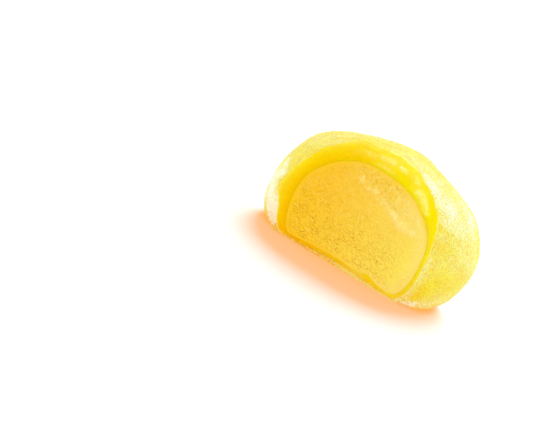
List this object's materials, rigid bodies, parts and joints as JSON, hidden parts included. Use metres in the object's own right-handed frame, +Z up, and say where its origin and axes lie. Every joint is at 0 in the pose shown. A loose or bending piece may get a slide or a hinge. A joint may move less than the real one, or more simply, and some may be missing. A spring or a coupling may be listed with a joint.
{
  "type": "ice-cream mochi",
  "caption": "Bitten ice-cream mochi: a low dome of soft rice dough on a flat foot, with the mango-yellow ice cream showing at the bite.",
  "frame": {"origin": "bottom centre of the whole piece's box, on the surface that it rests on", "axes": "+Z up, the bite faces -Y, +X to the right when looking at the bite"},
  "size_m": [0.0491, 0.0429, 0.0287],
  "materials": {
    "dough": "soft sticky rice dough, mango yellow, frosted outside and glossy at the bite",
    "ice_cream": "dense frozen ice cream, matt with fine ice grain"
  },
  "bodies": {
    "root": {"mochi_skin": "dough", "ice_cream": "ice_cream"}
  },
  "joints": []
}
